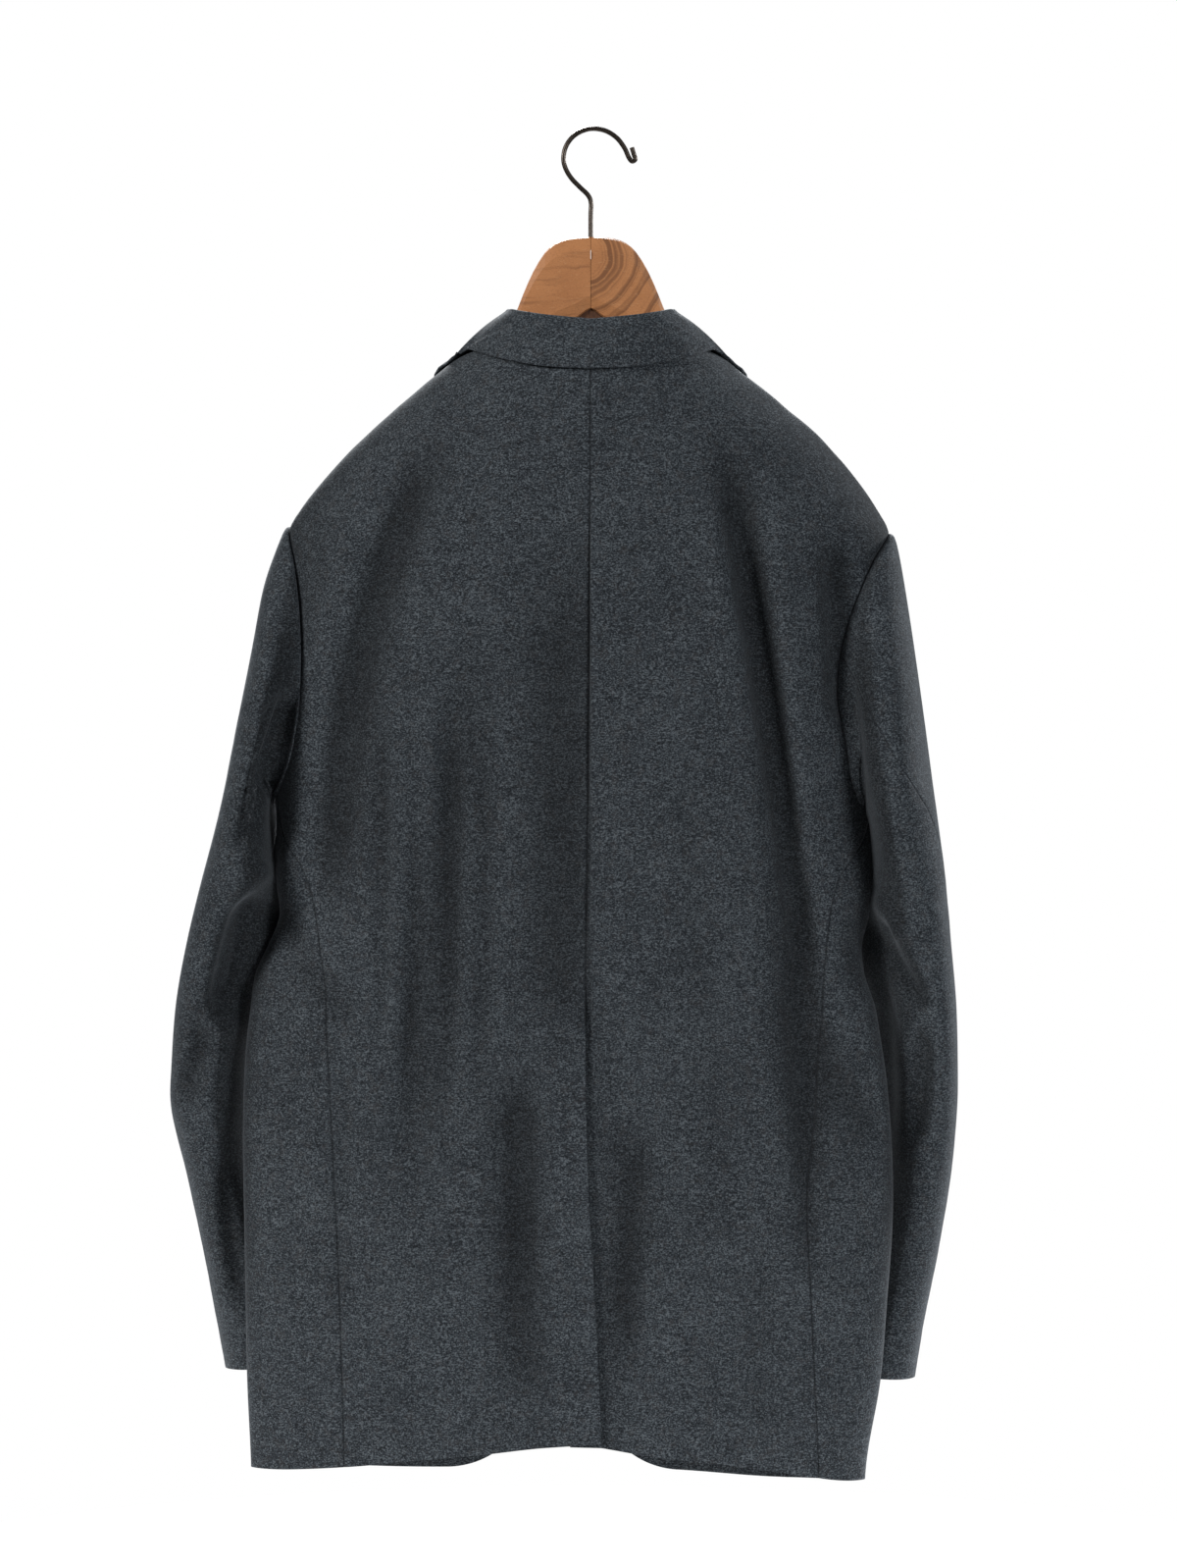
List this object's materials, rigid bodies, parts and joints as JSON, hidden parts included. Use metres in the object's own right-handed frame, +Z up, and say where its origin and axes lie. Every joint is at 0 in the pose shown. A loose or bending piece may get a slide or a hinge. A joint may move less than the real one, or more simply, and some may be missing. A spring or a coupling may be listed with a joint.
{
  "type": "tailored jacket on a hanger",
  "caption": "Oversized tailored wool jacket with turned collar, notch lapels, two-piece sleeves and a centre back vent, hanging unfastened on a jointed wooden hanger with a wire hook.",
  "frame": {"origin": "top of the hook's inside, where it rests on a rod", "axes": "+Z up; +X the wearer's left; the back faces +Y and the fronts face -Y"},
  "size_m": [0.5716, 0.1979, 0.9823],
  "materials": {
    "cloth": "melange blue-grey wool flannel, brushed nap",
    "button": "dark horn look, satin",
    "wood": "reddish brown, satin, open grain",
    "hook_metal": "black-brown, satin"
  },
  "bodies": {
    "root": {"back_left": "cloth", "back_right": "cloth", "side_left": "cloth", "side_right": "cloth", "front_left": "cloth", "front_right": "cloth", "lapel_left": "cloth", "lapel_right": "cloth", "collar": "cloth", "top_sleeve_left": "cloth", "top_sleeve_right": "cloth", "under_sleeve_left": "cloth", "under_sleeve_right": "cloth", "button_top": "button", "button_low": "button", "hanger_left": "wood", "hanger_right": "wood", "hook": "hook_metal"}
  },
  "joints": []
}
